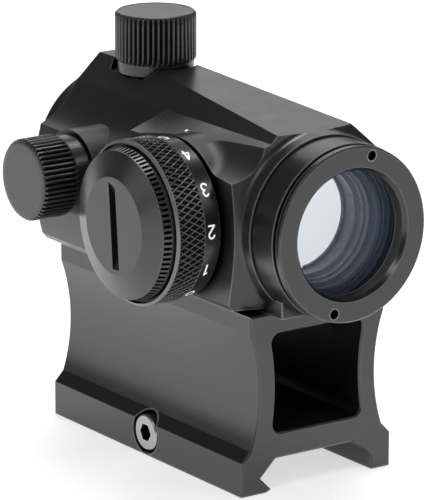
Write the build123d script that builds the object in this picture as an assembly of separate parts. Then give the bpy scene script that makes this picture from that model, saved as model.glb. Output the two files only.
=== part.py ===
from build123d import *
import os
from collections import namedtuple
from math import cos, radians, sin

# Compact red dot finder on a see-through riser for a standard accessory rail.
# Millimetres. +X looks at the target, +Y is the shooter's left, +Z is up.
# The origin is the middle of the flat seat that rests on the rail.

# --- Driving dimensions -------------------------------------------------------
FIT = 0.05                 # radial clearance of running fits

# Rail and riser
SEAT_HALF = 7.9            # half width of the rail seat
NOTCH_HALF = 10.8          # half width of the rail's widest line, with play
NOTCH_Z = -2.85
LIP_HALF = 8.75
LIP_Z = -4.9
LEG_HALF = 14.36
LEG_BOTTOM = -5.3
LEG_TOP = 0.24
SHOULDER_HALF = 12.73
SHOULDER_Z = 1.96
WAIST_HALF = 11.2
WAIST_Z = 11.0
RISER_TOP_HALF = 12.9
RISER_ARC_TOP = 20.8
RISER_TOP = 23.6
RISER_BACK = -28.4
RISER_FRONT = 25.2
WINDOW_BOTTOM = 4.11
WINDOW_TOP = 20.2
WINDOW_BOTTOM_HALF = 8.73
WINDOW_TOP_HALF = 9.04
WINDOW_WAIST_HALF = 8.02
WINDOW_CORNER = 1.5

# Rail clamp
CLAMP_X = -1.6
CLAMP_Z = -1.6
CLAMP_SHANK = 1.5
CLAMP_HEAD = 2.95
CLAMP_HEAD_LENGTH = 2.5
CLAMP_RELIEF = 3.5
JAW_HALF = 9.9
JAW_TOP = -0.4
BOLT_GROOVE_HALF = 1.55    # groove across the seat over the cross bolt
BOLT_GROOVE_DEPTH = 0.4
EDGE_BREAK = 0.25          # chamfer round the riser's ends

# Riser to housing screws
SCREW_PITCH_X = 32.0
SCREW_PITCH_Y = 13.6
SCREW_SHANK = 1.5
SCREW_HEAD = 2.8

# Housing
OPTIC_Z = 36.73            # optical axis above the rail seat
HOUSING_BACK = -30.0
BLOCK_FRONT = 27.0
SHOULDER_X = -3.9          # rear flank ends and front shoulder begins
HOUSING_BOTTOM = 24.35
FOOT_HALF = 9.6
FOOT_BACK = -26.0
FOOT_FRONT = 28.9
FLANK_HALF = 15.4
FLANK_BULGE = 16.6
CREASE_HALF = 8.3          # upper crease between ridge facet and flank
FACET_SLOPE = 0.9
FACET_PEAK = 57.6          # where the two ridge facets would meet
DIAL_SIDE_HALF = 15.3
SHOULDER_SLOPE = 0.33
RIDGE_X = -14.12
RIDGE_Z = 54.13
RIDGE_FALL = 0.0744
BORE = 10.3
NECK = 14.0
NECK_BACK = 25.3
NECK_FRONT = 32.35
NECK_BORE = 12.1
BELL = 13.9
BELL_BACK = -33.5
BELL_BORE = 11.2
BELL_SEAT = -29.2

# Scooped groove over the dial
GROOVE_RADIUS = 8.4
GROOVE_POINT = (0, -19.32, 55.06)
GROOVE_DIRECTION = (0.993, 0.085, -0.087)
BLEND_RADIUS = 3.0         # concave blend between the dial's boss and the groove
BLEND_SPOT = (18.15, -14.46, 45.69)
BLEND_REACH = 22.0         # the blend is made on a wider block, which is then cut flush

# Front ring and lenses
RING = 13.83
RING_FRONT = 34.05
RING_BACK = 32.85
RING_BORE = 10.57
RING_THROAT = 10.0
SPANNER_HOLE = 0.8
SPANNER_CIRCLE = 12.5
SPANNER_ANGLE = 106.0
LENS_BACK = 28.3
LENS_EDGE_FRONT = 30.6
LENS_CROWN = 0.25
GLASS_PLAY = 0.03
OCULAR_BACK = -31.1
OCULAR_FRONT = -29.3

# Moving optic tube
PIVOT_X = 26.4
TUBE_FRONT = 27.35
TUBE_BACK = -24.0
TUBE_COLLAR = 10.85
TUBE_SHOULDER = 9.35
TUBE_REAR = 8.9
TUBE_BORE = 8.3
PAD_DEPTH = 8.9
PIVOT_PIN = 0.55
REFLECTOR_FRONT = 19.9
REFLECTOR_BACK = 17.4
REFLECTOR_RADIUS = 8.55

# Turrets: distances are measured outward from the turret's own origin
ELEVATION_X = -19.4
WINDAGE_X = -16.5
WINDAGE_Z = 38.8
CAP_GRIP = 6.59
CAP_COLLAR = 6.2
STUB = 4.9
STUB_LENGTH = 5.0
SOCKET = 3.55
DRUM_FLANGE = 3.5
DRUM_NECK = 2.6
DRUM_BASE = 13.4
DRUM_STEP = 14.6
PLUNGER = 1.5
PLUNGER_TIP = 0.9

# Brightness dial
DIAL_X = 9.3
DIAL_Z = 36.9
DIAL_RADIUS = 12.97
DIAL_BAND = 12.62          # plain band behind the knurl
DIAL_BACK = 16.1
DIAL_BAND_END = 19.15
DIAL_RIM = 24.3
RIM_BORE = 12.5            # the rim stands round the battery cap with a gap
RIM_FLOOR = 23.75
DIAL_BOSS_OUTER = 12.47
DIAL_BOSS = 11.0
DIAL_BOSS_FACE = 16.3
HUB = 4.0
CAP_HEAD = 12.0
CAP_SEAT = 24.55
CAP_SHOULDER = 11.64
CAP_SHOULDER_Y = 26.1
CAP_DISC = 7.75
CAP_FACE = 27.4
SLOT_WIDTH = 1.8
SLOT_HALF_LENGTH = 7.1
SLOT_ANGLE = 94.5
BATTERY_RADIUS = 10.0
BATTERY_HEIGHT = 3.2

Turret = namedtuple("Turret", "frame seat collar_end top")


def outward_frame(x, z, direction):
    """Local frame whose Z axis points out of the housing."""
    return Plane(origin=(x, 0, z), x_dir=(1, 0, 0), z_dir=direction).location


ELEVATION = Turret(outward_frame(ELEVATION_X, OPTIC_Z, (0, 0, 1)), 15.7, 17.7, 25.7)
WINDAGE = Turret(outward_frame(WINDAGE_X, WINDAGE_Z, (0, -1, 0)), 18.2, 20.9, 27.4)
TURRETS = {"elevation": ELEVATION, "windage": WINDAGE}
DIAL = outward_frame(DIAL_X, DIAL_Z, (0, -1, 0))


# --- Small helpers ------------------------------------------------------------
def disc(radius, start, end):
    """Cylinder on the local Z axis."""
    length = end - start
    return Pos(0, 0, start) * Cylinder(radius, length, align=(Align.CENTER, Align.CENTER, Align.MIN))


def collar(outer, inner, start, end):
    return disc(outer, start, end) - disc(inner, start - 1, end + 1)


def bar(radius, start, end):
    """Cylinder on the optical axis."""
    return Pos(start, 0, OPTIC_Z) * Rot(0, 90, 0) * disc(radius, 0, end - start)


def ring(outer, inner, start, end):
    return bar(outer, start, end) - bar(inner, start - 1, end + 1)


def seal(major, minor, height):
    return Pos(0, 0, height) * Torus(major, minor)


def block(x_range, y_range, z_range):
    size = [high - low for low, high in (x_range, y_range, z_range)]
    corner = (x_range[0], y_range[0], z_range[0])
    return Pos(*corner) * Box(*size, align=(Align.MIN, Align.MIN, Align.MIN))


def section(edges, start, end):
    """Extrude a closed outline, given as (y, z) edges, along X."""
    face = make_face(edges)
    outline = Plane(origin=(start, 0, 0), x_dir=(0, 1, 0), z_dir=(1, 0, 0)) * face
    return extrude(outline, end - start)


def turned(points):
    """Turn a closed (distance along the axis, radius) outline about the optical axis."""
    outline = Polyline(*[(x, r) for x, r in points], close=True)
    solid = revolve(Plane.XZ * make_face(outline), Axis.X, 360)
    return Pos(0, 0, OPTIC_Z) * solid


def coil(radius, wire, start, end, turns):
    """Round-wire compression spring on the local Z axis."""
    path = Helix(pitch=(end - start) / turns, height=end - start, radius=radius)
    wire_face = Plane(origin=path @ 0, z_dir=path % 0) * Circle(wire)
    return Pos(0, 0, start) * sweep(wire_face, path)


def polar(radius, degrees, height=0):
    return Pos(radius * cos(radians(degrees)), radius * sin(radians(degrees)), height)


# --- Riser --------------------------------------------------------------------
def riser_outline():
    near_leg = Polyline(
        (-SHOULDER_HALF, SHOULDER_Z),
        (-LEG_HALF, LEG_TOP),
        (-LEG_HALF, LEG_BOTTOM),
        (-LIP_HALF - 0.9, LEG_BOTTOM),
        (-LIP_HALF, LIP_Z),
        (-NOTCH_HALF, NOTCH_Z),
        (-SEAT_HALF, 0),
        (SEAT_HALF, 0),
        (NOTCH_HALF, NOTCH_Z),
        (NOTCH_HALF, LEG_BOTTOM),
        (LEG_HALF, LEG_BOTTOM),
        (LEG_HALF, LEG_TOP),
        (SHOULDER_HALF, SHOULDER_Z),
    )
    far_waist = ThreePointArc(
        (SHOULDER_HALF, SHOULDER_Z), (WAIST_HALF, WAIST_Z), (RISER_TOP_HALF, RISER_ARC_TOP)
    )
    top = Polyline(
        (RISER_TOP_HALF, RISER_ARC_TOP),
        (RISER_TOP_HALF, RISER_TOP),
        (-RISER_TOP_HALF, RISER_TOP),
        (-RISER_TOP_HALF, RISER_ARC_TOP),
    )
    near_waist = ThreePointArc(
        (-RISER_TOP_HALF, RISER_ARC_TOP), (-WAIST_HALF, WAIST_Z), (-SHOULDER_HALF, SHOULDER_Z)
    )
    return near_leg + far_waist + top + near_waist


def riser_window():
    """See-through window from front to back, with slightly waisted sides."""
    middle = (WINDOW_BOTTOM + WINDOW_TOP) / 2
    floor = Line((-WINDOW_BOTTOM_HALF, WINDOW_BOTTOM), (WINDOW_BOTTOM_HALF, WINDOW_BOTTOM))
    far_side = ThreePointArc(
        (WINDOW_BOTTOM_HALF, WINDOW_BOTTOM), (WINDOW_WAIST_HALF, middle), (WINDOW_TOP_HALF, WINDOW_TOP)
    )
    ceiling = Line((WINDOW_TOP_HALF, WINDOW_TOP), (-WINDOW_TOP_HALF, WINDOW_TOP))
    near_side = ThreePointArc(
        (-WINDOW_TOP_HALF, WINDOW_TOP), (-WINDOW_WAIST_HALF, middle), (-WINDOW_BOTTOM_HALF, WINDOW_BOTTOM)
    )
    hole = section(floor + far_side + ceiling + near_side, RISER_BACK - 1, RISER_FRONT + 1)
    return fillet(hole.edges().filter_by(Axis.X), WINDOW_CORNER)


def screw_places():
    for x_sign in (-1, 1):
        for y_sign in (-1, 1):
            yield Pos(CLAMP_X + x_sign * SCREW_PITCH_X / 2, y_sign * SCREW_PITCH_Y / 2, 0)


def countersink(head, shank, floor):
    depth = head - shank
    cone = Pos(0, 0, floor) * Cone(head, shank, depth, align=(Align.CENTER, Align.CENTER, Align.MIN))
    return cone


def riser_mount():
    body = section(riser_outline(), RISER_BACK, RISER_FRONT) - riser_window()
    ends = body.faces().sort_by(Axis.X)
    body = chamfer(ends[0].edges() + ends[-1].edges(), EDGE_BREAK)
    groove_span = (CLAMP_X - BOLT_GROOVE_HALF, CLAMP_X + BOLT_GROOVE_HALF)
    body -= block(groove_span, (-SEAT_HALF, SEAT_HALF), (-1, BOLT_GROOVE_DEPTH))
    across = Pos(CLAMP_X, 0, CLAMP_Z) * Rot(90, 0, 0)
    head_seat = LEG_HALF - CLAMP_HEAD_LENGTH
    body -= across * disc(CLAMP_RELIEF, head_seat, LEG_HALF + 5)
    body -= across * disc(CLAMP_SHANK + FIT, -LEG_HALF, LEG_HALF)
    jaw_room = (CLAMP_X - JAW_HALF - 0.1, CLAMP_X + JAW_HALF + 0.1)
    body -= block(jaw_room, (SEAT_HALF - 0.5, LEG_HALF + 1), (LEG_BOTTOM - 1, JAW_TOP + FIT))
    for place in screw_places():
        body -= place * disc(SCREW_SHANK + 0.1, WINDOW_TOP - 1, RISER_TOP + 1)
        body -= place * countersink(SCREW_HEAD + 0.15, SCREW_SHANK + 0.1, WINDOW_TOP)
    return body


def clamp_jaw():
    """Sliding jaw whose V grips the rail's far edge; the cross bolt is threaded into it."""
    outline = Polyline(
        (SEAT_HALF + 0.45, JAW_TOP),
        (NOTCH_HALF, NOTCH_Z),
        (LIP_HALF, LIP_Z),
        (LIP_HALF + 0.4, LEG_BOTTOM),
        (LEG_HALF, LEG_BOTTOM),
        (LEG_HALF, JAW_TOP),
        close=True,
    )
    jaw = section(outline, CLAMP_X - JAW_HALF, CLAMP_X + JAW_HALF)
    across = Pos(CLAMP_X, 0, CLAMP_Z) * Rot(90, 0, 0)
    return jaw - across * disc(CLAMP_SHANK + FIT, -LEG_HALF - 1, 0)


def hex_socket(across_flats, start, end):
    prism = extrude(RegularPolygon(across_flats / 2, 6, major_radius=False), end - start)
    return Pos(0, 0, start) * prism


def clamp_screw():
    """Socket-head cross bolt; its head is on the near side, its tip in the jaw."""
    head_seat = LEG_HALF - CLAMP_HEAD_LENGTH
    head = disc(CLAMP_HEAD, head_seat, LEG_HALF)
    head = chamfer(head.edges().sort_by(Axis.Z)[-1], 0.25)
    shank = disc(CLAMP_SHANK, -LEG_HALF + 1.0, head_seat)
    screw = head + shank - hex_socket(2.7, LEG_HALF - 1.6, LEG_HALF + 1)
    return Pos(CLAMP_X, 0, CLAMP_Z) * Rot(90, 0, 0) * screw


def mount_screws():
    """Four countersunk screws that hold the housing's foot on the riser."""
    screw = countersink(SCREW_HEAD, SCREW_SHANK, WINDOW_TOP + 0.1)
    screw += disc(SCREW_SHANK, WINDOW_TOP + 1.0, 27.2)
    screw -= hex_socket(2.0, WINDOW_TOP, WINDOW_TOP + 1.1)
    return [place * screw for place in screw_places()]


# --- Housing ------------------------------------------------------------------
def facet_height(half_width):
    return FACET_PEAK - FACET_SLOPE * half_width


def far_side_points():
    """Far half of the section, from the ridge down to the underside."""
    return [
        (0, FACET_PEAK),
        (FLANK_HALF, facet_height(FLANK_HALF)),
        (FLANK_HALF, HOUSING_BOTTOM + 1.0),
        (FLANK_HALF - 0.9, HOUSING_BOTTOM),
    ]


def rear_block():
    """Rear part: the near flank is scooped above and gently bulged below."""
    crease = (-CREASE_HALF, facet_height(CREASE_HALF))
    corner = (-FLANK_HALF, 43.7)
    low = (-DIAL_SIDE_HALF, HOUSING_BOTTOM + 1.0)
    lines = Polyline(crease, *far_side_points(), (-DIAL_SIDE_HALF + 0.9, HOUSING_BOTTOM), low)
    bulge = ThreePointArc(low, (-FLANK_BULGE, 37.0), corner)
    scoop = ThreePointArc(corner, (-11.3, 46.3), crease)
    return section(lines + bulge + scoop, HOUSING_BACK, SHOULDER_X)


def front_block():
    """Front part: a flatter near shoulder carries the dial."""
    crease = (-CREASE_HALF, facet_height(CREASE_HALF))
    edge_drop = SHOULDER_SLOPE * (DIAL_SIDE_HALF - CREASE_HALF)
    edge = (-DIAL_SIDE_HALF, facet_height(CREASE_HALF) - edge_drop)
    low = (-DIAL_SIDE_HALF, HOUSING_BOTTOM + 1.0)
    corner = (-DIAL_SIDE_HALF + 0.9, HOUSING_BOTTOM)
    outline = Polyline(crease, *far_side_points(), corner, low, edge, close=True)
    return section(outline, SHOULDER_X, BLOCK_FRONT)


def front_cove():
    """Envelope that hollows the front face back from the neck to the block's edges."""
    path = Polyline((27.0, 0), (27.0, 14.35), (25.6, 14.5))
    cove = ThreePointArc((25.6, 14.5), (24.7, 14.8), (24.3, 15.4))
    rest = Polyline((24.3, 15.4), (13.7, 40), (-40, 40), (-40, 0), (27.0, 0))
    outline = Plane.XZ * make_face(path + cove + rest)
    return Pos(0, 0, OPTIC_Z) * revolve(outline, Axis.X, 360)


def above_ridge():
    """Everything above the ridge flat, which falls towards the front."""
    front_x = 60.0
    front_z = RIDGE_Z - RIDGE_FALL * (front_x - RIDGE_X)
    outline = Polyline(
        (-60, RIDGE_Z), (RIDGE_X, RIDGE_Z), (front_x, front_z), (front_x, 80), (-60, 80), close=True
    )
    return Pos(0, 40, 0) * extrude(Plane.XZ * make_face(outline), 80)


def groove():
    """Scooped groove that runs forward over the dial."""
    frame = Plane(origin=GROOVE_POINT, z_dir=GROOVE_DIRECTION).location
    return frame * disc(GROOVE_RADIUS, -3.0, 60)


def outer_block():
    """Both blocks with the groove, which runs into the dial's boss in a smooth blend."""
    wide = block((SHOULDER_X, BLOCK_FRONT), (-BLEND_REACH, -DIAL_SIDE_HALF), (30, 60))
    body = rear_block() + front_block() + wide - above_ridge()
    body -= groove() & block((-2.5, 40), (-40, 0), (20, 80))
    body += DIAL * disc(DIAL_BOSS_OUTER, BORE, BLEND_REACH)
    body = body.fillet(BLEND_RADIUS, body.edges().sort_by_distance(BLEND_SPOT)[:1])
    body -= block((SHOULDER_X, 40), (-40, -DIAL_SIDE_HALF), (20, 80))
    return body & front_cove()


def housing():
    body = outer_block()
    body += DIAL * disc(DIAL_BOSS, BORE, DIAL_BOSS_FACE)
    body += bar(NECK, NECK_BACK, NECK_FRONT)
    body += bar(BELL, BELL_BACK, HOUSING_BACK)
    body += block((FOOT_BACK, FOOT_FRONT), (-FOOT_HALF, FOOT_HALF), (RISER_TOP, HOUSING_BOTTOM + 2))
    body -= ELEVATION.frame * disc(7.25, ELEVATION.seat, 40)
    body += WINDAGE.frame * disc(6.9, BORE + 1, WINDAGE.seat)
    for turret in TURRETS.values():
        stub_top = turret.seat + STUB_LENGTH
        body += turret.frame * disc(STUB, BORE + 1, stub_top)
        body -= turret.frame * disc(SOCKET, DRUM_BASE, stub_top + 1)
        body -= turret.frame * disc(PLUNGER + FIT, BORE - 2, DRUM_BASE + 1)
        body -= turret.frame * Pos(DRUM_NECK, 0, 0) * disc(0.5, 11.3, DRUM_BASE)
    body -= DIAL * disc(HUB + FIT, BORE - 2, 20)
    body -= DIAL * disc(5.3, BORE - 2, 12.4)
    body -= DIAL * collar(4.98, HUB, 13.5, 14.5)
    body -= DIAL * polar(9.8, 90) * disc(0.65, 13.6, 17)
    body -= bar(BORE, BELL_BACK - 1, NECK_FRONT + 1)
    body -= bar(NECK_BORE, NECK_BACK, NECK_FRONT + 1)
    body -= bar(BELL_BORE, BELL_BACK - 1, BELL_SEAT)
    for end in (90, 270):
        body -= pivot_axis(end) * disc(PIVOT_PIN + FIT, NECK_BORE - 1, NECK_BORE + 1)
    for place in screw_places():
        body -= place * disc(SCREW_SHANK, RISER_TOP - 1, 27.4)
    return body


# --- Front and rear glass -----------------------------------------------------
def objective_ring():
    """Front retaining ring with two spanner holes."""
    body = turned([
        (RING_FRONT, RING_BORE),
        (RING_FRONT, RING - 0.2),
        (RING_FRONT - 0.2, RING),
        (RING_BACK + 0.1, RING),
        (RING_BACK, RING - 0.1),
        (RING_BACK, NECK_BORE - GLASS_PLAY),
        (31.45, NECK_BORE - GLASS_PLAY),
        (31.45, RING_THROAT),
        (33.35, RING_THROAT),
    ])
    for turn in (0, 180):
        angle = radians(SPANNER_ANGLE + turn)
        offset = Pos(0, -SPANNER_CIRCLE * cos(angle), SPANNER_CIRCLE * sin(angle))
        body -= offset * bar(SPANNER_HOLE, RING_FRONT - 0.9, RING_FRONT + 1)
    return body


def objective_seal():
    return Pos(31.05, 0, OPTIC_Z) * Rot(0, 90, 0) * Torus(11.3, 0.4)


def objective_lens():
    """Front window: flat behind, very slightly domed in front."""
    crown = ThreePointArc((-11.0, 0), (0, LENS_CROWN), (11.0, 0))
    dome = make_face(Polyline((11.0, 0), (0, 0), (0, LENS_CROWN)) + crown.trim(0.5, 1.0))
    dome = revolve(Plane.XZ * dome, Axis.Z, 360)
    crowned = Pos(LENS_EDGE_FRONT, 0, OPTIC_Z) * Rot(0, 90, 0) * dome
    return bar(NECK_BORE - GLASS_PLAY, LENS_BACK, LENS_EDGE_FRONT) + crowned


def lens_spacer():
    return ring(NECK_BORE - GLASS_PLAY, 11.2, 27.6, LENS_BACK)


def ocular_lens():
    return bar(BELL_BORE - GLASS_PLAY, OCULAR_BACK, OCULAR_FRONT)


def ocular_seal():
    return Pos(-31.5, 0, OPTIC_Z) * Rot(0, 90, 0) * Torus(10.6, 0.4)


def ocular_ring():
    return turned([
        (-31.9, 9.6),
        (-31.9, BELL_BORE),
        (-33.2, BELL_BORE),
        (-33.2, 10.4),
        (-32.6, 9.6),
    ])


# --- Moving optic tube --------------------------------------------------------
def pivot_axis(degrees):
    """Frame at the gimbal's centre whose local Z crosses the bore at this angle from upright."""
    return Pos(PIVOT_X, 0, OPTIC_Z) * Rot(degrees, 0, 0)


def pivot_ring():
    """Gimbal ring: it rocks on two side pins in the neck, and the tube rocks on its upright pins."""
    body = ring(NECK_BORE - 0.1, TUBE_COLLAR + FIT, NECK_BACK + 0.15, TUBE_FRONT)
    for end in (0, 180):
        body += pivot_axis(90 + end) * disc(PIVOT_PIN, TUBE_COLLAR + 0.5, NECK_BORE + 0.9)
        body -= pivot_axis(end) * disc(PIVOT_PIN + FIT, TUBE_COLLAR - 1, NECK_BORE + 1)
    return body


def optic_tube():
    """Inner tube with stepped front bore, adjuster pads and a seat for the reflector."""
    body = turned([
        (TUBE_FRONT, 10.35),
        (TUBE_FRONT, TUBE_COLLAR),
        (25.55, TUBE_COLLAR),
        (25.55, TUBE_SHOULDER),
        (15.6, TUBE_SHOULDER),
        (14.9, TUBE_REAR),
        (-11.5, TUBE_REAR),
        (-12.2, TUBE_SHOULDER),
        (-23.3, TUBE_SHOULDER),
        (TUBE_BACK, TUBE_SHOULDER - 0.6),
        (TUBE_BACK, TUBE_BORE),
        (16.6, TUBE_BORE),
        (16.6, 8.0),
        (REFLECTOR_BACK, 8.0),
        (REFLECTOR_BACK, REFLECTOR_RADIUS),
        (23.0, REFLECTOR_RADIUS),
        (23.2, 9.1),
        (24.5, 9.1),
        (24.7, 10.0),
        (26.9, 10.0),
    ])
    body -= block((-24, -12), (-5, 5), (OPTIC_Z + PAD_DEPTH, OPTIC_Z + 12))
    body -= block((-24, -12), (-12, -PAD_DEPTH), (OPTIC_Z - 5, OPTIC_Z + 5))
    for end in (0, 180):
        body += pivot_axis(end) * disc(PIVOT_PIN, TUBE_COLLAR - 0.3, NECK_BORE - 0.2)
    return body


def reflector_lens():
    """Coated lens that turns the emitter's light back to the eye; hollow on its rear face."""
    hollow = Pos(-42.0, 0, OPTIC_Z) * Sphere(60.0)
    return bar(REFLECTOR_RADIUS - GLASS_PLAY, REFLECTOR_BACK, REFLECTOR_FRONT) - hollow


def reflector_clip():
    """Split wire ring that keeps the reflector on its seat."""
    clip = ring(REFLECTOR_RADIUS, REFLECTOR_RADIUS - 0.35, REFLECTOR_FRONT, REFLECTOR_FRONT + 0.5)
    gap = block((REFLECTOR_FRONT - 1, REFLECTOR_FRONT + 2), (-0.8, 0.8), (OPTIC_Z - 10, OPTIC_Z))
    return clip - gap


def emitter_place():
    """Frame on the tube wall at the lower right, local Z pointing outward."""
    direction = (0, -sin(radians(45)), -cos(radians(45)))
    return Plane(origin=(-13.0, 0, OPTIC_Z), x_dir=(1, 0, 0), z_dir=direction).location


def emitter_holder():
    holder = emitter_place() * block((-1.5, 1.5), (-1.8, 1.8), (6.0, 9.0))
    return holder & bar(TUBE_BORE, -20, 0)


def emitter_led():
    return emitter_place() * block((1.5, 2.0), (-0.6, 0.6), (6.4, 7.2))


def return_spring():
    """Arched leaf spring that presses the tube against both adjusters."""
    low, high, strip = TUBE_REAR + 0.02, BORE - 0.01, 0.2
    inner = ThreePointArc((-9, high - strip), (0, low), (9, high - strip))
    outer = ThreePointArc((-9, high), (0, low + strip), (9, high))
    ends = Line((-9, high - strip), (-9, high)) + Line((9, high - strip), (9, high))
    face = Plane.XZ * make_face(inner + outer + ends)
    leaf = Pos(0, 1.6, 0) * extrude(face, 3.2)
    placed = Pos(0, 0, OPTIC_Z) * Rot(-135, 0, 0) * leaf
    return placed & bar(BORE, -12, 12)


# --- Turrets ------------------------------------------------------------------
def turret_cap(turret):
    base = turret.seat + 0.15
    stub_top = turret.seat + STUB_LENGTH
    body = disc(CAP_GRIP, turret.collar_end, turret.top) + disc(CAP_COLLAR, base, turret.collar_end + 1)
    body = chamfer(body.edges().sort_by(Axis.Z)[-1], 0.35)
    body -= disc(STUB + FIT, base - 1, stub_top + 0.3)
    body -= disc(5.87, base - 1, base + 0.9)
    return turret.frame * body


def turret_seal(turret):
    return turret.frame * seal(5.4, 0.42, turret.seat + 0.5)


def adjuster_drum(turret):
    """Slotted drum: it turns in the turret without moving along its axis."""
    top = turret.seat + STUB_LENGTH - 0.4
    body = disc(DRUM_FLANGE, DRUM_BASE + 0.05, DRUM_STEP) + disc(DRUM_NECK, DRUM_STEP, top)
    body -= disc(PLUNGER + FIT, DRUM_BASE - 1, top - 1.6)
    body -= Pos(0, 0, top) * Box(8, 0.9, 1.8)
    body -= seal(DRUM_NECK, 0.52, DRUM_BASE - 0.3)
    return turret.frame * body


def adjuster_retainer(turret):
    return turret.frame * collar(SOCKET, DRUM_NECK + FIT, DRUM_STEP + 0.05, DRUM_STEP + 2.2)


def adjuster_plunger(turret):
    """Keyed plunger: the drum's thread drives it in and out against the tube."""
    shank = disc(PLUNGER, 11.7, 16.6)
    tip = disc(PLUNGER_TIP, PAD_DEPTH + 0.04, 11.7)
    return turret.frame * (shank + tip)


def click_balls():
    balls = [t.frame * Pos(DRUM_NECK, 0, DRUM_BASE - 0.3) * Sphere(0.45) for t in TURRETS.values()]
    balls.append(DIAL * polar(9.8, 90, 16.85) * Sphere(0.6))
    return balls


def click_springs():
    springs = []
    for turret in TURRETS.values():
        place = turret.frame * Pos(DRUM_NECK, 0, 0)
        springs.append(place * coil(0.36, 0.07, 11.45, 12.5, 4))
    springs.append(DIAL * polar(9.8, 90) * coil(0.48, 0.09, 13.75, 16.1, 6))
    return springs


# --- Brightness dial ----------------------------------------------------------
def brightness_dial():
    """Knob with battery well; its hub turns in the housing's side wall."""
    body = disc(DIAL_RADIUS, DIAL_BAND_END, DIAL_RIM) + disc(DIAL_BAND, DIAL_BACK, DIAL_BAND_END)
    rim = body.edges().group_by(Axis.Z)[-1]
    body = chamfer(rim, 0.35) + disc(HUB, 11.3, DIAL_BACK + 1)
    body -= collar(11.4, HUB, DIAL_BACK - 1, 18.6)
    body += collar(10.7, 9.0, 17.2, 18.6)
    body -= seal(9.8, 0.68, 16.85)
    body -= disc(10.6, 19.8, DIAL_RIM + 1)
    body -= disc(11.25, 22.2, DIAL_RIM + 1)
    body -= disc(RIM_BORE, RIM_FLOOR, DIAL_RIM + 1)
    body -= disc(1.5, 11, 20)
    body -= collar(6, 3.5, 11.65, 12.35)
    return DIAL * body


def dial_circlip():
    clip = collar(5.0, 3.5, 11.7, 12.3) - block((0, 6), (-1.2, 1.2), (11, 13))
    return DIAL * clip


def dial_seal():
    return DIAL * seal(4.5, 0.45, 14.0)


def switch_board():
    return DIAL * collar(8.6, 4.4, DIAL_BOSS_FACE, 17.0)


def wiper_disc():
    return DIAL * collar(8.6, HUB, 17.5, 18.6)


def wiper_contacts():
    finger = block((-0.5, 0.5), (-1.2, 1.2), (17.05, 17.5))
    return [DIAL * Rot(0, 0, 120 * turn) * Pos(6.5, 0, 0) * finger for turn in range(3)]


def contact_pin():
    return DIAL * (disc(1.5, 11.0, 19.8) + disc(2.6, 19.8, 20.1))


def battery_tray():
    cup = disc(10.6, 19.8, 22.15) - disc(10.1, 20.3, 23) - disc(2.9, 19, 21)
    return DIAL * cup


def battery_spring():
    """Conical contact washer under the cell."""
    outline = Polyline((0.6, 20.75), (0.6, 20.95), (2.5, 20.3), (2.5, 20.1), close=True)
    cone = revolve(Plane.XZ * make_face(outline), Axis.Z, 360)
    return DIAL * cone


def battery():
    cell = disc(8.9, 20.97, 21.5) + disc(BATTERY_RADIUS, 21.5, 20.97 + BATTERY_HEIGHT)
    return DIAL * cell


def battery_cap():
    """Screw cap with a steep edge, a shallow cone, a flat disc and an arc-floored coin slot."""
    outline = Polyline(
        (0, 24.2), (10.15, 24.2), (10.15, 22.7), (11.2, 22.7), (11.2, CAP_SEAT),
        (CAP_HEAD, CAP_SEAT), (CAP_SHOULDER, CAP_SHOULDER_Y), (CAP_DISC, CAP_FACE),
        (0, CAP_FACE), close=True,
    )
    body = revolve(Plane.XZ * make_face(outline), Axis.Z, 360)
    cutter_radius = 16.0
    sink = cutter_radius * cos(SLOT_HALF_LENGTH / cutter_radius)
    cutter = Pos(0, 0, CAP_FACE + sink) * Rot(90, 0, 0) * Cylinder(cutter_radius, SLOT_WIDTH)
    body -= Rot(0, 0, SLOT_ANGLE) * cutter
    return DIAL * body


def battery_cap_seal():
    return DIAL * seal(11.6, 0.35, (RIM_FLOOR + CAP_SEAT) / 2)


# --- Write every sub-part -----------------------------------------------------
PARTS = {
    "riser_mount": riser_mount,
    "clamp_jaw": clamp_jaw,
    "clamp_screw": clamp_screw,
    "mount_screws": mount_screws,
    "housing": housing,
    "objective_ring": objective_ring,
    "objective_seal": objective_seal,
    "objective_lens": objective_lens,
    "lens_spacer": lens_spacer,
    "ocular_lens": ocular_lens,
    "ocular_seal": ocular_seal,
    "ocular_ring": ocular_ring,
    "pivot_ring": pivot_ring,
    "optic_tube": optic_tube,
    "reflector_lens": reflector_lens,
    "reflector_clip": reflector_clip,
    "emitter_holder": emitter_holder,
    "emitter_led": emitter_led,
    "return_spring": return_spring,
    "click_balls": click_balls,
    "click_springs": click_springs,
    "brightness_dial": brightness_dial,
    "dial_circlip": dial_circlip,
    "dial_seal": dial_seal,
    "switch_board": switch_board,
    "wiper_disc": wiper_disc,
    "wiper_contacts": wiper_contacts,
    "contact_pin": contact_pin,
    "battery_tray": battery_tray,
    "battery_spring": battery_spring,
    "battery": battery,
    "battery_cap": battery_cap,
    "battery_cap_seal": battery_cap_seal,
}
TURRET_PARTS = {
    "cap": turret_cap,
    "cap_seal": turret_seal,
    "adjuster": adjuster_drum,
    "retainer": adjuster_retainer,
    "plunger": adjuster_plunger,
}


def write(name, shape):
    if isinstance(shape, list):
        shape = Compound(children=shape)
    export_step(shape, f"parts/{name}.step")


os.makedirs("parts", exist_ok=True)
for name, make in PARTS.items():
    write(name, make())
for side, turret in TURRETS.items():
    for piece, make in TURRET_PARTS.items():
        write(f"{side}_{piece}", make(turret))
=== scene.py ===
import math
import bmesh
import bpy
from mathutils import Matrix, Vector


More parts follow.
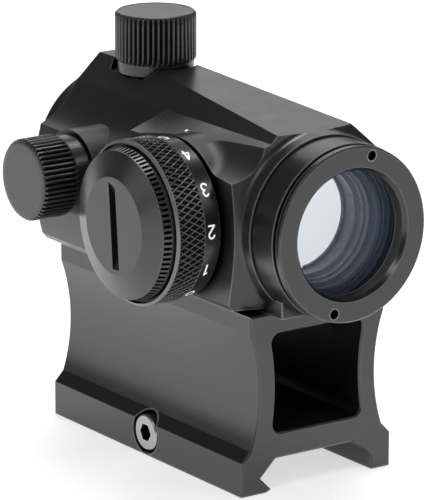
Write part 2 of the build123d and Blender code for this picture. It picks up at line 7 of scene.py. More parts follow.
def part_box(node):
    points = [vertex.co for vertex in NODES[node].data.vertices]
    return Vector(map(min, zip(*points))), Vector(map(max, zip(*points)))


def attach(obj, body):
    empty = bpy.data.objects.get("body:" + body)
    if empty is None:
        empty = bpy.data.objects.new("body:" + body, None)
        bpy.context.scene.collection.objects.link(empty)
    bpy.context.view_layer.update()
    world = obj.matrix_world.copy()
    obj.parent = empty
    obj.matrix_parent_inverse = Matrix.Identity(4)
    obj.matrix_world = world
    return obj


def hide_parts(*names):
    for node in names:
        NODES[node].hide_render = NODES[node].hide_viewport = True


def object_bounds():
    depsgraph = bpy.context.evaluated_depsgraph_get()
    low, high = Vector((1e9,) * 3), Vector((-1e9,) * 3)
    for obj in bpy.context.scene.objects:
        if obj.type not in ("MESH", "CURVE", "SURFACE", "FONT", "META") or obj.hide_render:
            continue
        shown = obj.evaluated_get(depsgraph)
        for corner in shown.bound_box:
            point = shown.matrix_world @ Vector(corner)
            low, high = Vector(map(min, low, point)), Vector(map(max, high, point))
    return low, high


# Looks for the red dot finder. Lengths in the tables below are millimetres.
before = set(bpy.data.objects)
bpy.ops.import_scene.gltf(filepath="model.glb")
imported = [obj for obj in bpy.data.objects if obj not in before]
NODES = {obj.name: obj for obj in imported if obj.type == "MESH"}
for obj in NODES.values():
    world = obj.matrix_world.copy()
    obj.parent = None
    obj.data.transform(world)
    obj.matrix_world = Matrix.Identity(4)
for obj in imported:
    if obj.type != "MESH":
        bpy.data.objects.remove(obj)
CAD_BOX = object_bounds()
MM = 0.001


# --- Node materials -----------------------------------------------------------
def link(tree, start, end):
    tree.links.new(start, end)


def noise(tree, where, scale, detail=4.0, rough=0.55):
    node = tree.nodes.new("ShaderNodeTexNoise")
    node.inputs["Scale"].default_value = scale
    node.inputs["Detail"].default_value = detail
    node.inputs["Roughness"].default_value = rough
    link(tree, where, node.inputs["Vector"])
    return node.outputs["Fac"]


def remap(tree, value, low, high):
    node = tree.nodes.new("ShaderNodeMapRange")
    node.inputs["From Min"].default_value = 0.3
    node.inputs["From Max"].default_value = 0.7
    node.inputs["To Min"].default_value = low
    node.inputs["To Max"].default_value = high
    link(tree, value, node.inputs["Value"])
    return node.outputs["Result"]


def blend_colour(tree, value, dark, light):
    node = tree.nodes.new("ShaderNodeValToRGB")
    node.color_ramp.elements[0].position = 0.32
    node.color_ramp.elements[1].position = 0.68
    node.color_ramp.elements[0].color = (*dark, 1)
    node.color_ramp.elements[1].color = (*light, 1)
    link(tree, value, node.inputs["Fac"])
    return node.outputs["Color"]


def bump(tree, value, depth):
    node = tree.nodes.new("ShaderNodeBump")
    node.inputs["Strength"].default_value = 1.0
    node.inputs["Distance"].default_value = depth
    link(tree, value, node.inputs["Height"])
    return node.outputs["Normal"]


def openness(tree, reach, inside, low, high, closed, clear, alone=False):
    """How open the surface is within reach: outside it finds crevices, inside it finds outer edges."""
    node = tree.nodes.new("ShaderNodeAmbientOcclusion")
    node.samples = 6
    node.inside = inside
    node.only_local = inside or alone
    node.inputs["Distance"].default_value = reach
    ramp = tree.nodes.new("ShaderNodeMapRange")
    ramp.interpolation_type = "SMOOTHSTEP"
    ramp.inputs["From Min"].default_value = low
    ramp.inputs["From Max"].default_value = high
    ramp.inputs["To Min"].default_value = closed
    ramp.inputs["To Max"].default_value = clear
    link(tree, node.outputs["AO"], ramp.inputs["Value"])
    return ramp.outputs["Result"]


def handled(tree, where, edge, from_x):
    """Fade the light edges, partly wear and partly a painted highlight, down to 0.18 behind from_x (mm);
    forward of it they stay at full strength.
    """
    axes = tree.nodes.new("ShaderNodeSeparateXYZ")
    link(tree, where, axes.inputs["Vector"])
    ramp = tree.nodes.new("ShaderNodeMapRange")
    ramp.inputs["From Min"].default_value = (from_x - 6) * MM
    ramp.inputs["From Max"].default_value = (from_x + 6) * MM
    ramp.inputs["To Min"].default_value = 0.18
    ramp.inputs["To Max"].default_value = 1.0
    link(tree, axes.outputs["X"], ramp.inputs["Value"])
    product = tree.nodes.new("ShaderNodeMath")
    product.operation = "MULTIPLY"
    link(tree, edge, product.inputs[0])
    link(tree, ramp.outputs["Result"], product.inputs[1])
    return product.outputs["Value"]


def near(tree, where, spot, reach):
    """How near the surface is to a spot (mm): 1 at the spot, 0 beyond reach."""
    gap = tree.nodes.new("ShaderNodeVectorMath")
    gap.operation = "DISTANCE"
    link(tree, where, gap.inputs[0])
    gap.inputs[1].default_value = [value * MM for value in spot]
    ramp = tree.nodes.new("ShaderNodeMapRange")
    ramp.interpolation_type = "SMOOTHSTEP"
    ramp.inputs["From Min"].default_value = 0.4 * reach * MM
    ramp.inputs["From Max"].default_value = reach * MM
    ramp.inputs["To Min"].default_value = 1.0
    ramp.inputs["To Max"].default_value = 0.0
    link(tree, gap.outputs["Value"], ramp.inputs["Value"])
    return ramp.outputs["Result"]


def mixed(tree, factor, first, second):
    node = tree.nodes.new("ShaderNodeMix")
    node.data_type = "RGBA"
    link(tree, factor, node.inputs["Factor"])
    for value, socket in ((first, node.inputs["A"]), (second, node.inputs["B"])):
        if isinstance(value, tuple):
            socket.default_value = (*value, 1)
        else:
            link(tree, value, socket)
    return node.outputs["Result"]


def mixed_number(tree, factor, first, second):
    node = tree.nodes.new("ShaderNodeMapRange")
    node.inputs["From Min"].default_value = 0.0
    node.inputs["From Max"].default_value = 1.0
    node.inputs["To Max"].default_value = second
    link(tree, factor, node.inputs["Value"])
    link(tree, first, node.inputs["To Min"])
    return node.outputs["Result"]


def start(name):
    material = bpy.data.materials.new(name)
    material.use_nodes = True
    tree = material.node_tree
    shader = tree.nodes["Principled BSDF"]
    where = tree.nodes.new("ShaderNodeTexCoord").outputs["Object"]
    return material, tree, shader, where


GRAIN = 900.0
GRAIN_DEPTH = 4e-6             # metres
# Painted shade: the near-black colour that crevices are darkened to.
CREVICE_PAINTED_SHADE = 0.002
CREVICE_ROUGHNESS = 0.75
MATT_ROUGHNESS = 0.5
CREVICE_OPENNESS = (0.32, 0.80)
EDGE_OPENNESS = (0.60, 0.92)


def finish_metal(name, dark, light, rough, grain=GRAIN, depth=GRAIN_DEPTH, specular=0.5, metallic=0.0,
                 edge_wear_and_highlight=None, wear_highlight_reach=0.34, crevice=4.5, from_x=None, alone=False, matt_spots=()):
    """Blasted metal: mottled colour, uneven gloss and a fine grain; an edge grey adds painted shade in
    crevices and light outer edges, partly wear and partly a painted highlight.

    The edge and crevice reaches are in mm. A crevice in a black finish also turns metallic, so the painted
    shade darkens its shine too.
    """
    material, tree, shader, where = start(name)
    mottle = noise(tree, where, 60.0, 5.0)
    colour = blend_colour(tree, mottle, dark, light)
    gloss = remap(tree, noise(tree, where, 210.0, 4.0), rough - 0.035, rough + 0.035)
    if edge_wear_and_highlight is not None:
        crevice_shade = openness(tree, crevice * MM, False, *CREVICE_OPENNESS, 1.0, 0.0, alone)
        edge = openness(tree, wear_highlight_reach * MM, True, *EDGE_OPENNESS, 1.0, 0.0)
        # The light edges fade behind from_x, so the painted edge highlight shows mostly towards the front.
        if from_x is not None:
            edge = handled(tree, where, edge, from_x)
        # Painted shade: crevices are darkened to near black.
        colour = mixed(tree, crevice_shade, colour, grey(CREVICE_PAINTED_SHADE))
        # Outer edges are lightened: partly wear, partly a painted highlight.
        colour = mixed(tree, edge, colour, grey(edge_wear_and_highlight))
        gloss = mixed_number(tree, crevice_shade, gloss, CREVICE_ROUGHNESS)
    for spot, reach in matt_spots:
        gloss = mixed_number(tree, near(tree, where, spot, reach), gloss, MATT_ROUGHNESS)
    link(tree, colour, shader.inputs["Base Color"])
    link(tree, gloss, shader.inputs["Roughness"])
    fine = bump(tree, noise(tree, where, grain * 8, 3.0, 0.6), depth)
    link(tree, fine, shader.inputs["Normal"])
    shader.inputs["Specular IOR Level"].default_value = specular
    if edge_wear_and_highlight is not None and metallic == 0:
        # Painted shade: crevices turn metallic over their near-black colour, so their shine darkens too.
        link(tree, crevice_shade, shader.inputs["Metallic"])
    else:
        shader.inputs["Metallic"].default_value = metallic
    return material


def glass(name, dark, light, alpha, rough):
    """Coated glass: its coating's tint drifts a little over the face."""
    material, tree, shader, where = start(name)
    link(tree, blend_colour(tree, noise(tree, where, 45.0, 2.0), dark, light), shader.inputs["Base Color"])
    link(tree, remap(tree, noise(tree, where, 120.0, 3.0), rough, rough + 0.02), shader.inputs["Roughness"])
    shader.inputs["Alpha"].default_value = alpha
    shader.inputs["IOR"].default_value = 1.5
    return material


def bright_glass(name, dark, light, glow):
    """White coating or paint that glows softly though it is no lamp: painted light."""
    material, tree, shader, where = start(name)
    tint = blend_colour(tree, noise(tree, where, 45.0, 2.0), dark, light)
    link(tree, tint, shader.inputs["Base Color"])
    link(tree, tint, shader.inputs["Emission Color"])
    shader.inputs["Emission Strength"].default_value = glow
    link(tree, remap(tree, noise(tree, where, 120.0, 3.0), 0.04, 0.08), shader.inputs["Roughness"])
    return material


def grey(value):
    return (value, value, value)


BLACK = (grey(0.008), grey(0.011))
SOFT_BLACK = (grey(0.009), grey(0.012))
TUBE_BLACK = ((0.042, 0.048, 0.056), (0.048, 0.055, 0.064))
BRASS = ((0.60, 0.40, 0.16), (0.70, 0.48, 0.22))
LAMINATE = ((0.015, 0.075, 0.035), (0.02, 0.10, 0.05))
LED_RED = ((0.45, 0.02, 0.015), (0.55, 0.03, 0.02))
BLUE_TINT = ((0.14, 0.19, 0.27), (0.17, 0.23, 0.32))
GREEN_TINT = ((0.20, 0.26, 0.24), (0.24, 0.30, 0.28))
COATING_AND_GLOW = ((0.90, 0.93, 0.96), (0.96, 0.98, 1.0))
# Places (mm) with their reach, where the housing is less glossy: the dial's boss and the windage boss.
MATT_SPOTS = [((18.15, -14.46, 45.69), 11), ((-10, -17, 43), 8)]

# Finishes given an edge grey carry painted shade in their crevices, and light edges that are partly wear and
# partly a painted highlight.
FINISHES = {
    "body_black": finish_metal("anodised_body", *BLACK, 0.30, specular=0.72,
                               edge_wear_and_highlight=0.20, from_x=16, matt_spots=MATT_SPOTS),
    "riser_black": finish_metal("anodised_riser", *BLACK, 0.24, specular=0.80,
                                edge_wear_and_highlight=0.18, crevice=14, alone=True),
    "ring_black": finish_metal("anodised_ring", *SOFT_BLACK, 0.24, specular=0.72,
                               edge_wear_and_highlight=0.30, wear_highlight_reach=0.26, crevice=11),
    "tube_black": finish_metal("anodised_tube", *TUBE_BLACK, 0.28, 500.0, 2e-6, edge_wear_and_highlight=0.16, wear_highlight_reach=0.18),
    "cap_black": finish_metal("anodised_cap", *SOFT_BLACK, 0.28, specular=0.80,
                              edge_wear_and_highlight=0.14, wear_highlight_reach=0.2, crevice=1.5),
    "dial_black": finish_metal("anodised_dial", *BLACK, 0.26, specular=0.72,
                               edge_wear_and_highlight=0.34, wear_highlight_reach=0.10, crevice=0.9),
    "bright_steel": finish_metal("bright_steel", grey(0.42), grey(0.50), 0.30, metallic=1.0,
                                 edge_wear_and_highlight=0.85, wear_highlight_reach=0.2, crevice=6, alone=True),
    "dark_steel": finish_metal("dark_steel", grey(0.05), grey(0.07), 0.35, metallic=1.0),
    "spring_steel": finish_metal("spring_steel", grey(0.38), grey(0.46), 0.28, metallic=1.0),
    "cell_steel": finish_metal("cell_steel", grey(0.55), grey(0.62), 0.24, metallic=1.0),
    "contact_brass": finish_metal("contact_brass", *BRASS, 0.30, metallic=1.0),
    "seal_rubber": finish_metal("seal_rubber", grey(0.010), grey(0.014), 0.62, 500.0, 9e-6, 0.35),
    "black_plastic": finish_metal("black_plastic", grey(0.014), grey(0.020), 0.48, 420.0, 8e-6, 0.4),
    "board_laminate": finish_metal("board_laminate", *LAMINATE, 0.42, 500.0, 5e-6),
    "led_lens": finish_metal("led_lens", *LED_RED, 0.15),
    "tinted_glass": glass("tinted_glass", *BLUE_TINT, 0.22, 0.03),
    "clear_glass": glass("clear_glass", *GREEN_TINT, 0.20, 0.03),
    # Painted light: the combiner's white coating glows though it is no lamp.
    "coated_glass": bright_glass("coated_glass", *COATING_AND_GLOW, 1.05),
}
# The battery cap's finish also carries painted crevice shade, and light edges that are partly wear and
# partly a painted highlight.
CAP_FINISH = finish_metal("anodised_battery_cap", *SOFT_BLACK, 0.24, specular=0.80,
                          edge_wear_and_highlight=0.09, wear_highlight_reach=0.12, crevice=1.0)
RIM_FINISH = finish_metal("polished_rim", grey(0.13), grey(0.17), 0.26, specular=0.80)
# Painted shade: a near-black, dull finish put into the flute grooves and the knurl pits.
PIT_PAINTED_SHADE = finish_metal("recess_painted_shade", grey(0.003), grey(0.006), 0.55, specular=0.14)
# White paint that glows though it is no lamp: painted light.
GLOWING_PAINT = bright_glass("white_paint_painted_glow", grey(0.78), grey(0.86), 0.5)

for node in NODES.values():
    slot_name = node.data.materials[0].name.split(".")[0]
    node.data.materials.clear()
    node.data.materials.append(FINISHES[slot_name])


# --- Geometry helpers ---------------------------------------------------------
def outward(origin, direction):
    """Matrix whose local Z points out of the housing and whose local X is the object's X."""
    z = Vector(direction)
    x = Vector((1, 0, 0))
    y = z.cross(x)
    place = Matrix((x, y, z)).transposed().to_4x4()
    place.translation = origin
    return place


def add_mesh(name, points, faces, material, smooth_angle=38.0):
    mesh = bpy.data.meshes.new(name)
    mesh.from_pydata(points, [], faces)
    mesh.validate()
    mesh.polygons.foreach_set("use_smooth", [True] * len(mesh.polygons))
    mesh.set_sharp_from_angle(angle=math.radians(smooth_angle))
    mesh.materials.append(material)
    piece = bpy.data.objects.new(name, mesh)
    bpy.context.scene.collection.objects.link(piece)
    return piece


def turned(name, place, outline, columns, material, cut=None):
    """Turn a closed (radius, height) outline about local Z. cut(angle, height) caps the radius."""
    points, rows = [], []
    for radius, height in outline:
        if radius < 1e-6:
            points.append(place @ Vector((0, 0, height * MM)))
            rows.append([len(points) - 1] * columns)
            continue
        row = []
        for column in range(columns):
            angle = 2 * math.pi * column / columns
            r = radius if cut is None else min(radius, cut(angle, height))
            row.append(len(points))
            points.append(place @ Vector((r * MM * math.cos(angle), r * MM * math.sin(angle), height * MM)))
        rows.append(row)
    faces = []
    for low, high in zip(rows, rows[1:] + rows[:1]):
        if low[0] == low[1] and high[0] == high[1]:
            continue
        for column in range(columns):
            after = (column + 1) % columns
            corners = [low[column], low[after], high[after], high[column]]
            faces.append(list(dict.fromkeys(corners)))
    return add_mesh(name, points, faces, material)


def steps(start, end, count):
    return [start + (end - start) * i / count for i in range(count + 1)]


def give_finish(piece, to_local, finish, wanted):
    """Give one finish to the faces that a test of their corners (mm, turned axis upright) picks."""
    piece.data.materials.append(finish)
    index = len(piece.data.materials) - 1
    corners = [to_local @ vertex.co / MM for vertex in piece.data.vertices]
    for face in piece.data.polygons:
        if wanted([corners[i] for i in face.vertices]):
            face.material_index = index


def box_mm(node):
    low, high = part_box(node)
    return low / MM, high / MM


# --- Turret caps --------------------------------------------------------------
RIBS = 48
RIB_DEPTH = 0.40
RIB_WIDTH = 0.66               # share of the pitch that is scooped


def rib_cut(radius, ribs, depth, width):
    def cut(angle, _height):
        phase = abs((angle * ribs / (2 * math.pi)) % 1.0 - 0.5) * 2
        scoop = max(0.0, 1 - (phase / width) ** 2)
        return radius - depth * scoop
    return cut


def turret_cap(name, direction, foot):
    """Fluted cap; foot is the length of the plain collar below the flutes."""
    low, high = box_mm(name)
    centre = (low + high) / 2
    if direction == (0, 0, 1):
        origin = Vector((centre.x, centre.y, low.z))
        height = high.z - low.z
    else:
        origin = Vector((centre.x, high.y, centre.z))
        height = high.y - low.y
    grip = (high.x - low.x) / 2
    collar, bore, recess = 6.2, 4.95, 5.87
    bore_top, recess_top = 5.15, 0.9
    outline = [(0, bore_top), (bore, bore_top), (bore, recess_top), (recess, recess_top), (recess, 0)]
    outline += [(collar - 0.12, 0), (collar, 0.12), (collar, foot - 0.03), (collar, foot)]
    outline += [(collar + 0.08, foot + 0.05), (grip - 0.05, foot + 0.42)]
    outline += [(grip, z) for z in steps(foot + 0.5, height - 0.45, 6)]
    outline += [(grip - 0.04, height - 0.38), (grip - 0.36, height - 0.04), (grip - 0.42, height)]
    outline += [(grip - 1.2, height), (0, height)]
    place = outward(origin * MM, direction)
    flutes = rib_cut(grip, RIBS, RIB_DEPTH, RIB_WIDTH)
    piece = turned(name + "_ribbed", place, outline, RIBS * 10, FINISHES["cap_black"], flutes)

    def in_groove(spots):
        middle = sum(spots, Vector((0, 0, 0))) / len(spots)
        return foot + 0.45 < middle.z < height - 0.4 and collar < middle.xy.length < grip - 0.2

    # Painted shade: the flute grooves get the near-black recess finish.
    give_finish(piece, place.inverted(), PIT_PAINTED_SHADE, in_groove)
    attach(piece, name)
    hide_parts(name)


turret_cap("elevation_cap", (0, 0, 1), 1.85)
turret_cap("windage_cap", (0, -1, 0), 2.55)


# --- Brightness dial ----------------------------------------------------------
dial_low, dial_high = box_mm("brightness_dial")
DIAL_RADIUS = (dial_high.x - dial_low.x) / 2
DIAL_MIDDLE = (dial_low + dial_high) / 2
DIAL_PLACE = outward(Vector((DIAL_MIDDLE.x, 0, DIAL_MIDDLE.z)) * MM, (0, -1, 0))
DIAL_RIM = -dial_low.y
DIAL_BAND = 12.62
RIM_BORE, RIM_FLOOR = 12.5, 23.75
KNURL_START, KNURL_END = 19.17, 23.83
KNURL_ROWS = 38
KNURL_LINES = 72
KNURL_COLUMNS = 16
KNURL_ANGLE = 30.0
KNURL_DEPTH = 0.36
KNURL_RIDGE = 0.09             # half width of a ridge's crest, as a share of the pitch
KNURL_SLOPE = 0.50


def knurl_cut(angle, height):
    """Diamond pits between two crossing families of thin ridges."""
    if not KNURL_START < height < KNURL_END:
        return DIAL_RADIUS
    pitch = 2 * math.pi * DIAL_RADIUS / KNURL_LINES
    along = angle * DIAL_RADIUS / pitch
    shift = (height - KNURL_START) * math.tan(math.radians(KNURL_ANGLE)) / pitch
    walls = []
    for phase in (along + shift, along - shift):
        distance = abs(phase % 1.0 - 0.5) * 2
        walls.append(max(0.0, 1 - distance - KNURL_RIDGE) / KNURL_SLOPE)
    return DIAL_RADIUS - KNURL_DEPTH * min(1.0, min(walls))


def dial_outline():
    outline = [(1.5, 19.8), (1.5, 11.3), (4.0, 11.3), (4.0, 18.6), (11.4, 18.6), (11.4, 16.1)]
    outline += [(DIAL_BAND - 0.15, 16.1), (DIAL_BAND, 16.25), (DIAL_BAND, 17.6), (DIAL_BAND, 19.13)]
    outline += [(DIAL_RADIUS - 0.05, 19.15)]
    outline += [(DIAL_RADIUS, KNURL_START + 0.02)]
    outline += [(DIAL_RADIUS, z) for z in steps(KNURL_START + 0.04, KNURL_END - 0.02, KNURL_ROWS)]
    outline += [(DIAL_RADIUS, KNURL_END), (DIAL_RADIUS, KNURL_END + 0.12)]
    outline += [(DIAL_RADIUS - 0.34, DIAL_RIM - 0.01), (DIAL_RADIUS - 0.38, DIAL_RIM)]
    outline += [(RIM_BORE + 0.04, DIAL_RIM), (RIM_BORE, DIAL_RIM - 0.04), (RIM_BORE, RIM_FLOOR)]
    outline += [(11.25, RIM_FLOOR), (11.25, 22.2), (10.6, 22.2), (10.6, 19.8)]
    return outline


dial_columns = KNURL_LINES * KNURL_COLUMNS
dial = turned("dial_knurled", DIAL_PLACE, dial_outline(), dial_columns, FINISHES["dial_black"], knurl_cut)
to_dial = DIAL_PLACE.inverted()


def on_rim(spots):
    return all(spot.z > KNURL_END - 0.01 and spot.xy.length > DIAL_RADIUS - 0.42 for spot in spots)


def in_pit(spots):
    middle = sum(spots, Vector((0, 0, 0))) / len(spots)
    return KNURL_START < middle.z < KNURL_END and 12.3 < middle.xy.length < DIAL_RADIUS - 0.13


give_finish(dial, to_dial, RIM_FINISH, on_rim)
# Painted shade: the knurl pits get the near-black recess finish.
give_finish(dial, to_dial, PIT_PAINTED_SHADE, in_pit)
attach(dial, "brightness_dial")
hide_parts("brightness_dial")


# --- Battery cap --------------------------------------------------------------
cap_low, cap_high = box_mm("battery_cap")
CAP_RADIUS = (cap_high.x - cap_low.x) / 2
CAP_FACE = -cap_low.y
CAP_SHOULDER = (11.64, 26.1)
CAP_DISC = 7.75
CAP_NOTCHES = 86
CAP_NOTCH_FLOOR = 11.22
CAP_SLOT_ANGLE = 94.5
UNCUT = 99.0                   # wider than any radius, so it leaves the outline alone


def notch_cut(angle, height):
    if not 24.64 < height < CAP_SHOULDER[1] - 0.09:
        return UNCUT
    phase = (angle * CAP_NOTCHES / (2 * math.pi)) % 1.0
    return CAP_NOTCH_FLOOR if 0.26 < phase < 0.74 else UNCUT


def cap_outline():
    outline = [(0, 24.2), (10.15, 24.2), (10.15, 22.7), (11.2, 22.7), (11.2, 24.55)]
    outline += [(CAP_RADIUS, 24.55), (CAP_RADIUS, 24.63), (CAP_RADIUS - 0.01, 24.66)]
    outline += [(CAP_SHOULDER[0] + 0.03, CAP_SHOULDER[1] - 0.10)]
    outline += [(CAP_SHOULDER[0] + 0.025, CAP_SHOULDER[1] - 0.08), CAP_SHOULDER]
    cone_fall = (CAP_FACE - 0.02 - CAP_SHOULDER[1]) / (CAP_SHOULDER[0] - CAP_DISC)
    near_floor = [CAP_NOTCH_FLOOR + 0.2, CAP_NOTCH_FLOOR + 0.01, CAP_NOTCH_FLOOR - 0.01]
    for radius in near_floor + [10.4, 9.5, 8.6, CAP_DISC]:
        outline.append((radius, CAP_SHOULDER[1] + (CAP_SHOULDER[0] - radius) * cone_fall))
    outline += [(CAP_DISC - 0.06, CAP_FACE), (0, CAP_FACE)]
    return outline


def slot_cutter(place):
    """Disc-shaped cutter that leaves a slot with a hollow floor."""
    radius, half_width, half_length = 16.0, 0.9, 7.1
    sink = radius * math.cos(half_length / radius)
    turn = Matrix.Rotation(math.radians(CAP_SLOT_ANGLE), 4, "Z")
    points, faces = [], []
    count = 240
    for side in (-half_width, half_width):
        for i in range(count):
            a = 2 * math.pi * i / count
            local = Vector((radius * math.cos(a), side, CAP_FACE + sink + radius * math.sin(a))) * MM
            points.append(place @ (turn @ local))
    faces.append(list(range(count)))
    faces.append(list(range(2 * count - 1, count - 1, -1)))
    for i in range(count):
        j = (i + 1) % count
        faces.append([i, i + count, j + count, j])
    return add_mesh("slot_cutter", points, faces, CAP_FINISH)


cap = turned("battery_cap_notched", DIAL_PLACE, cap_outline(), CAP_NOTCHES * 10, CAP_FINISH, notch_cut)
cutter = slot_cutter(DIAL_PLACE)
for mesh_object in (cap, cutter):
    work = bmesh.new()
    work.from_mesh(mesh_object.data)
    bmesh.ops.recalc_face_normals(work, faces=work.faces)
    work.to_mesh(mesh_object.data)
    work.free()
slotting = cap.modifiers.new("slot", "BOOLEAN")
slotting.operation = "DIFFERENCE"
slotting.solver = "EXACT"
slotting.object = cutter
graph = bpy.context.evaluated_depsgraph_get()
cap_mesh = bpy.data.meshes.new_from_object(cap.evaluated_get(graph))
cap_mesh.set_sharp_from_angle(angle=math.radians(10.0))
cap.modifiers.clear()
cap.data = cap_mesh
bpy.data.objects.remove(cutter)
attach(cap, "battery_cap")
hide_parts("battery_cap")


# --- Dial numbers -------------------------------------------------------------
def arc(cx, cy, rx, ry, first, last, count=18):
    angles = steps(math.radians(first), math.radians(last), count)
    return [(cx + rx * math.cos(a), cy + ry * math.sin(a)) for a in angles]


# Strokes in a box one unit wide and 1.75 units high.
STROKES = {
    "0": [arc(0.5, 0.875, 0.46, 0.83, 90, 450, 40)],
    "1": [[(0.28, 1.42), (0.62, 1.70), (0.62, 0.04)]],
    "2": [arc(0.5, 1.26, 0.44, 0.44, 165, -28) + [(0.06, 0.05), (0.96, 0.05)]],
    "3": [arc(0.47, 1.30, 0.39, 0.40, 155, -90) + arc(0.46, 0.47, 0.46, 0.43, 90, -155)],
    "4": [[(0.96, 0.46), (0.03, 0.46), (0.70, 1.70), (0.70, 0.03)]],
    "5": [[(0.86, 1.70), (0.18, 1.70), (0.11, 0.93)] + arc(0.47, 0.54, 0.46, 0.50, 128, -150)],
    "6": [arc(0.5, 0.52, 0.44, 0.48, 140, -220, 36) + [(0.20, 1.06), (0.74, 1.70)]],
    "7": [[(0.06, 1.70), (0.94, 1.70), (0.36, 0.04)]],
    "8": [arc(0.5, 1.30, 0.37, 0.38, -90, 270, 32), arc(0.5, 0.48, 0.45, 0.44, 90, 450, 36)],
    "9": [arc(0.5, 1.23, 0.44, 0.48, -40, 320, 36) + [(0.80, 0.72), (0.26, 0.04)]],
}
DIGIT_HEIGHT = 2.1
DIGIT_WIDTH = 0.95
STROKE_WIDTH = 0.30
NUMBER_Y = 17.85
NUMBER_TURN = 1.8


def dense(path, gap):
    points = [Vector(path[0])]
    for a, b in zip(path, path[1:]):
        a, b = Vector(a), Vector(b)
        count = max(1, math.ceil((b - a).length / gap))
        points += [a.lerp(b, i / count) for i in range(1, count + 1)]
    return points


def ribbon(path, width):
    """Outline quads of a round-ended stroke, as (points, faces) in the flat."""
    points, faces = [], []
    path = [p for i, p in enumerate(path) if i == 0 or (p - path[i - 1]).length > 1e-5]
    for i, p in enumerate(path):
        before, after = path[max(i - 1, 0)], path[min(i + 1, len(path) - 1)]
        along = (after - before).normalized()
        side = Vector((-along.y, along.x)) * width / 2
        points += [p + side, p - side]
    faces += [[2 * i, 2 * i + 1, 2 * i + 3, 2 * i + 2] for i in range(len(path) - 1)]
    for p in (path[0], path[-1]):
        centre = len(points)
        points.append(p.copy())
        rim = [p + Vector((math.cos(a), math.sin(a))) * width / 2 for a in steps(0, 2 * math.pi, 16)[:-1]]
        points += rim
        faces += [[centre, centre + 1 + k, centre + 1 + (k + 1) % 16] for k in range(16)]
    return points, faces


def number_piece(value):
    text = str(value)
    scale = DIGIT_HEIGHT / 1.75 * (1.0 if len(text) == 1 else 0.86)
    advance = scale * 1.25
    total = advance * (len(text) - 1) + scale
    points, faces = [], []
    for index, letter in enumerate(text):
        for stroke in STROKES[letter]:
            place = Vector((index * advance - total / 2, -DIGIT_HEIGHT / 2))
            path = [Vector((x * DIGIT_WIDTH, y)) * scale + place for x, y in dense(stroke, 0.08)]
            flat_points, flat_faces = ribbon(path, STROKE_WIDTH)
            base = len(points)
            points += flat_points
            faces += [[base + k for k in face] for face in flat_faces]
    middle = math.radians(30.0 * (value - 2) + NUMBER_TURN)
    wrapped = []
    for lift in (0.018, -0.05):
        for p in points:
            angle = middle - p.y / DIAL_BAND
            radius = (DIAL_BAND + lift) * MM
            height = (NUMBER_Y + p.x) * MM
            wrapped.append(DIAL_PLACE @ Vector((radius * math.cos(angle), radius * math.sin(angle), height)))
    count = len(points)
    both = faces + [[count + k for k in reversed(face)] for face in faces]
    return wrapped, both


number_points, number_faces = [], []
for value in range(12):
    some_points, some_faces = number_piece(value)
    offset = len(number_points)
    number_points += some_points
    number_faces += [[offset + k for k in face] for face in some_faces]
# The numbers are white paint that glows: painted light.
numbers = add_mesh("dial_numbers", number_points, number_faces, GLOWING_PAINT)
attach(numbers, "brightness_dial")


# --- Index dot ----------------------------------------------------------------
def index_dot():
    _, spot, normal, _ = NODES["housing"].closest_point_on_mesh(Vector((5.77, -11.45, 49.36)) * MM)
    place = normal.to_track_quat("Z", "Y").to_matrix().to_4x4()
    place.translation = spot
    outline = [(0, -0.05), (0.30, -0.05), (0.30, 0.02), (0.26, 0.035), (0, 0.04)]
    # The dot is white paint that glows: painted light.
    return turned("index_dot", place, outline, 32, GLOWING_PAINT)


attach(index_dot(), "sight_body")


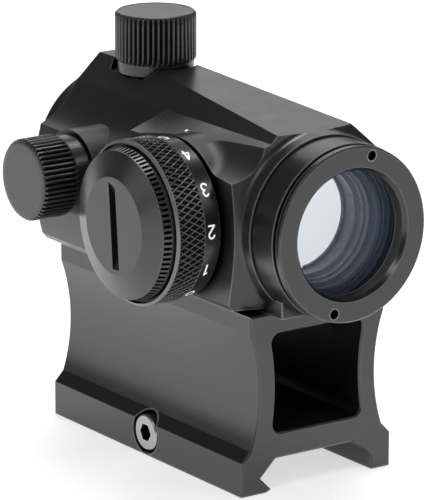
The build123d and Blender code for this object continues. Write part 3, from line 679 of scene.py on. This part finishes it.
# --- Stage, light and camera --------------------------------------------------
low, high = CAD_BOX
floor_mesh = bpy.data.meshes.new("floor")
FLOOR_REACH = 6.0
floor_signs = ((-1, -1), (1, -1), (1, 1), (-1, 1))
floor_corners = [(x * FLOOR_REACH, y * FLOOR_REACH, low.z) for x, y in floor_signs]
floor_mesh.from_pydata(floor_corners, [], [[0, 1, 2, 3]])
floor = bpy.data.objects.new("floor", floor_mesh)
bpy.context.scene.collection.objects.link(floor)
floor_material = bpy.data.materials.new("pale_floor")
floor_material.use_nodes = True
floor_shader = floor_material.node_tree.nodes["Principled BSDF"]
floor_shader.inputs["Base Color"].default_value = (0.86, 0.86, 0.86, 1)
floor_shader.inputs["Roughness"].default_value = 0.9
floor_shader.inputs["Emission Color"].default_value = (1, 1, 1, 1)
floor_shader.inputs["Emission Strength"].default_value = 0.62
floor_mesh.materials.append(floor_material)

world = bpy.data.worlds.new("studio")
world.use_nodes = True
world.node_tree.nodes["Background"].inputs["Color"].default_value = (1, 1, 1, 1)
world.node_tree.nodes["Background"].inputs["Strength"].default_value = 0.10
bpy.context.scene.world = world

MIDDLE = Vector((0, 0, 28)) * MM


def softbox(name, azimuth, elevation, distance, size, radiance):
    """Area light; azimuth is measured from +X towards +Y."""
    data = bpy.data.lights.new(name, "AREA")
    data.shape = "RECTANGLE"
    data.size, data.size_y = size
    data.energy = radiance * math.pi * size[0] * size[1]
    lamp = bpy.data.objects.new(name, data)
    a, e = math.radians(azimuth), math.radians(elevation)
    back = Vector((math.cos(a) * math.cos(e), math.sin(a) * math.cos(e), math.sin(e)))
    lamp.location = MIDDLE + back * distance
    lamp.rotation_mode = "QUATERNION"
    lamp.rotation_quaternion = back.to_track_quat("Z", "Y")
    lamp.visible_camera = False
    bpy.context.scene.collection.objects.link(lamp)


softbox("top_box", 132, 72, 0.9, (0.5, 0.5), 5.5)
softbox("far_low_box", 146, 22, 1.0, (0.9, 0.34), 1.05)
softbox("far_high_box", 157, 39, 1.0, (0.42, 0.28), 1.2)
softbox("right_box", 42, 36, 1.0, (0.36, 0.28), 2.4)
softbox("front_box", 20, 20, 1.0, (0.45, 0.3), 1.4)
softbox("key_box", -60, 46, 1.0, (0.30, 0.34), 6.0)
softbox("side_box", -112, 12, 1.0, (0.6, 0.3), 0.9)

camera_data = bpy.data.cameras.new("camera")
camera_data.lens = 298.9
camera_data.sensor_width = 36.0
camera_data.clip_start, camera_data.clip_end = 0.05, 20.0
camera = bpy.data.objects.new("camera", camera_data)
camera.location = Vector((522.65, -367.80, 202.18)) * MM
aim = Vector((-3.26, 0, 26.01)) * MM
camera.rotation_mode = "QUATERNION"
look = (aim - camera.location).to_track_quat("-Z", "Y")
camera.rotation_quaternion = look
bpy.context.scene.collection.objects.link(camera)
bpy.context.scene.camera = camera
bpy.context.scene.view_settings.view_transform = "Standard"
